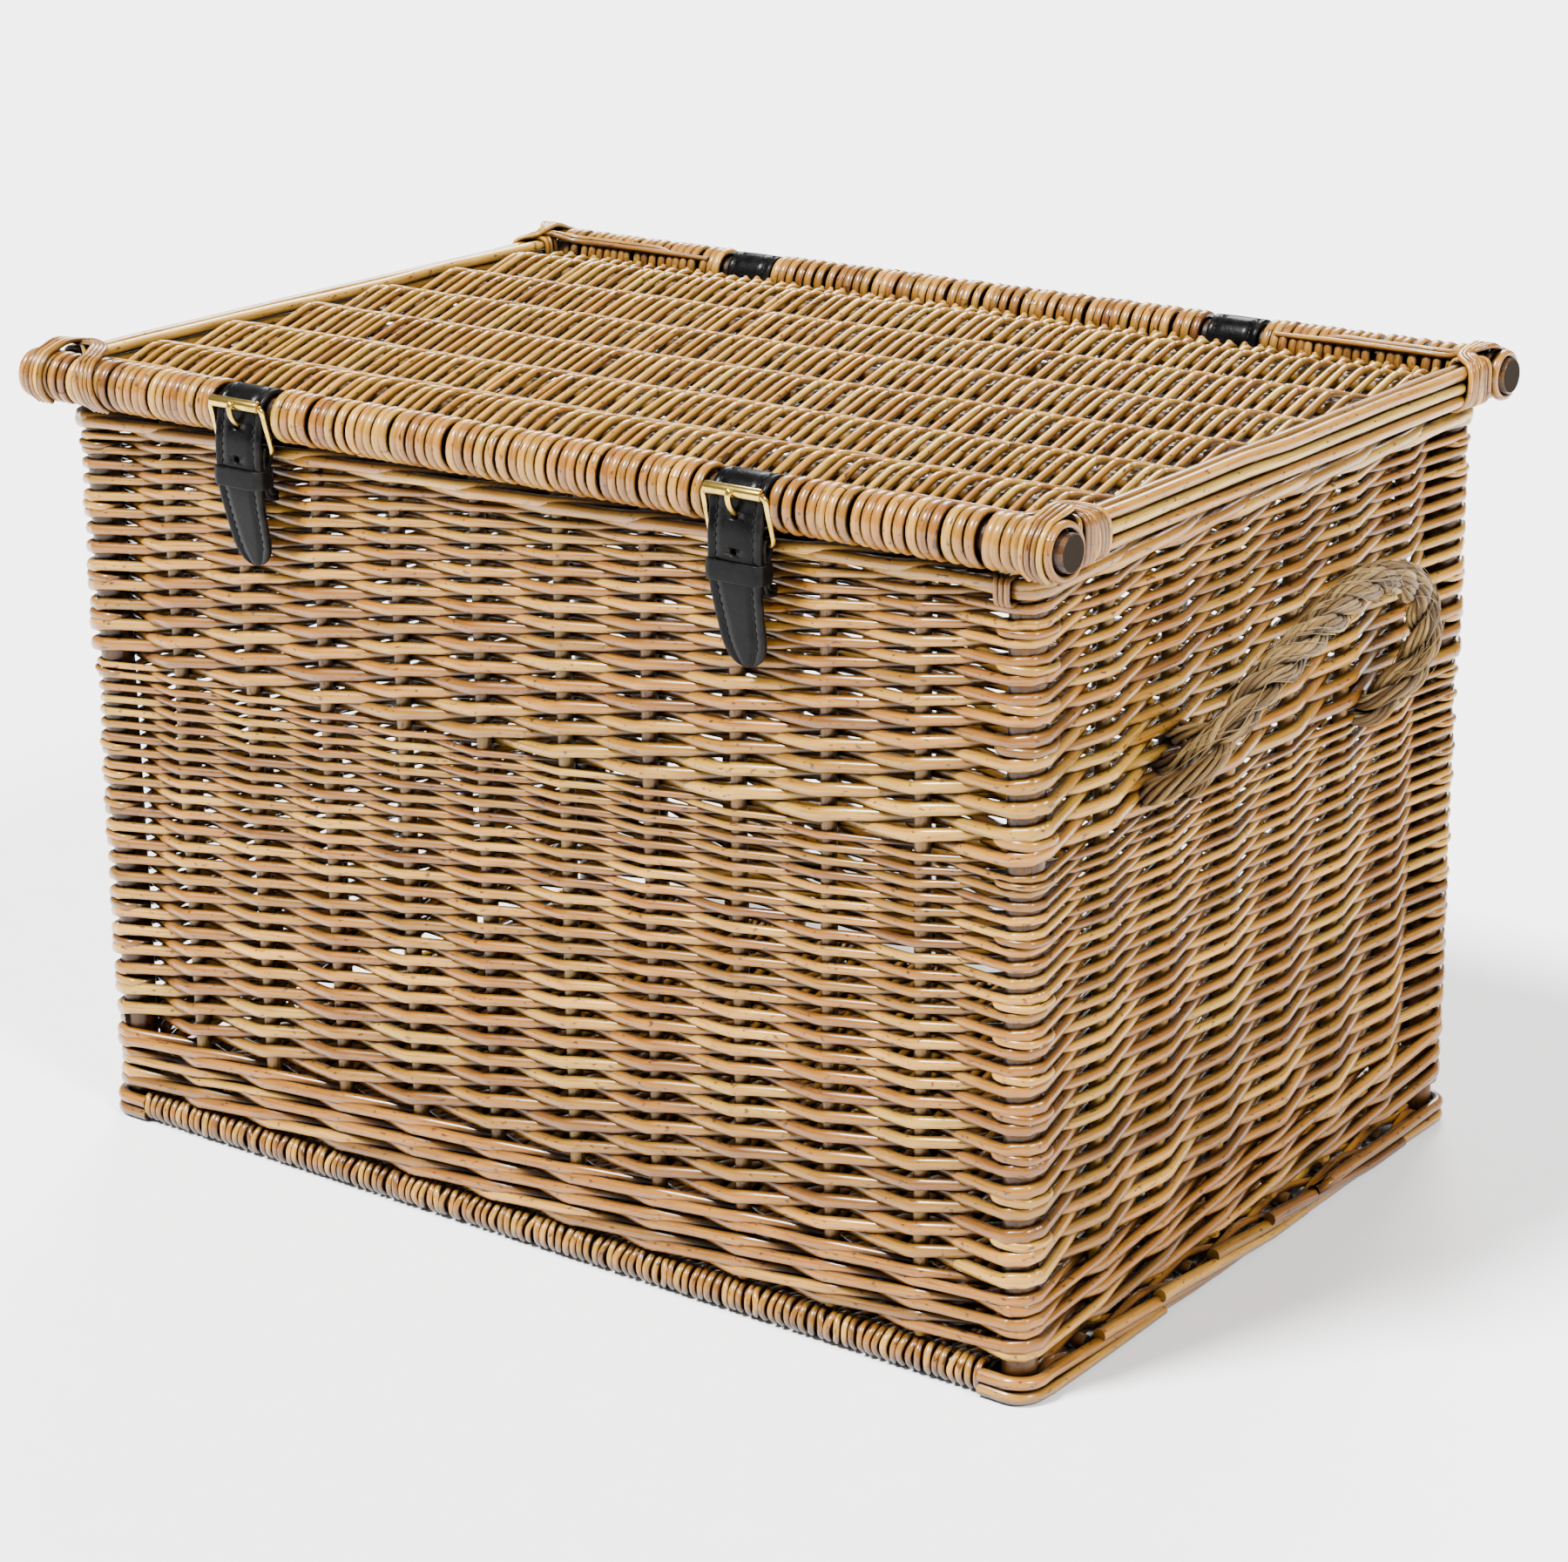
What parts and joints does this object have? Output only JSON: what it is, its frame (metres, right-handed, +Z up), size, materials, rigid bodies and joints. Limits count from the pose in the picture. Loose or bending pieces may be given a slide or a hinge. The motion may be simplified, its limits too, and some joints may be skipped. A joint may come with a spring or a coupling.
{
  "type": "wicker storage trunk",
  "caption": "Rectangular woven willow trunk with a hinged flat lid, buckled leather straps and rope side handles.",
  "frame": {"origin": "centre of the footprint on the floor", "axes": "+Z up, X along the long front, the front with the straps faces -Y"},
  "size_m": [0.577, 0.3703, 0.3532],
  "materials": {
    "willow": "varnished willow rods, golden brown",
    "willow_light": "varnished willow rods, lighter straw brown",
    "willow_dark": "varnished willow sticks with grey-brown cut ends",
    "leather": "black, pebbled, edge painted",
    "brass": "polished",
    "rope": "loosely laid natural fibre"
  },
  "bodies": {
    "trunk": {"base_weave": "willow", "base_outer_sticks": "willow_dark", "base_inner_sticks": "willow_dark", "foot_rods_left": "willow", "foot_rods_right": "willow", "corner_posts": "willow_dark", "front_stakes": "willow_dark", "back_stakes": "willow_dark", "left_stakes": "willow_dark", "right_stakes": "willow_dark", "upsett_wale": "willow", "lower_randing": "willow", "upper_randing": "willow", "top_border": "willow_light", "hinge_loop_left": "leather", "hinge_loop_right": "leather", "rope_ends_left": "rope", "rope_ends_right": "rope"},
    "lid": {"lid_front_stick": "willow_dark", "lid_back_stick": "willow_dark", "lid_ribs": "willow_dark", "lid_weave": "willow_light", "lid_edge_rods_left": "willow_light", "lid_edge_rods_right": "willow_light", "lid_lashings": "willow"},
    "handle_left": {"rope_handle_left": "rope"},
    "handle_right": {"rope_handle_right": "rope"},
    "strap_body_left": {"strap_left": "leather", "buckle_left": "brass", "chape_left": "leather", "keeper_left": "leather"},
    "roller_body_left": {"roller_left": "brass"},
    "prong_body_left": {"prong_left": "brass"},
    "strap_body_right": {"strap_right": "leather", "buckle_right": "brass", "chape_right": "leather", "keeper_right": "leather"},
    "roller_body_right": {"roller_right": "brass"},
    "prong_body_right": {"prong_right": "brass"}
  },
  "joints": [
    {"name": "lid_hinge", "type": "hinge", "parent": "trunk", "child": "lid", "pos_m": [0, 0.168, 0.3419], "axis": [-1, 0, 0], "range_deg": [0, 110]},
    {"name": "strap_swing_left", "type": "hinge", "parent": "lid", "child": "strap_body_left", "pos_m": [-0.133, -0.174, 0.3419], "axis": [-1, 0, 0], "range_deg": [0, 120]},
    {"name": "roller_spin_left", "type": "hinge", "parent": "strap_body_left", "child": "roller_body_left", "pos_m": [-0.133, -0.1858, 0.3468], "axis": [1, 0, 0], "continuous": true},
    {"name": "prong_tilt_left", "type": "hinge", "parent": "strap_body_left", "child": "prong_body_left", "pos_m": [-0.133, -0.1803, 0.3263], "axis": [1, 0, 0], "range_deg": [0, 8]},
    {"name": "strap_swing_right", "type": "hinge", "parent": "lid", "child": "strap_body_right", "pos_m": [0.122, -0.174, 0.3419], "axis": [-1, 0, 0], "range_deg": [0, 120]},
    {"name": "roller_spin_right", "type": "hinge", "parent": "strap_body_right", "child": "roller_body_right", "pos_m": [0.122, -0.1858, 0.3468], "axis": [1, 0, 0], "continuous": true},
    {"name": "prong_tilt_right", "type": "hinge", "parent": "strap_body_right", "child": "prong_body_right", "pos_m": [0.122, -0.1803, 0.3263], "axis": [1, 0, 0], "range_deg": [0, 8]},
    {"name": "handle_swing_left", "type": "hinge", "parent": "trunk", "child": "handle_left", "pos_m": [-0.2575, 0, 0.223], "axis": [0, -1, 0], "range_deg": [-17, 145]},
    {"name": "handle_swing_right", "type": "hinge", "parent": "trunk", "child": "handle_right", "pos_m": [0.2575, 0, 0.223], "axis": [0, 1, 0], "range_deg": [-17, 145]}
  ]
}
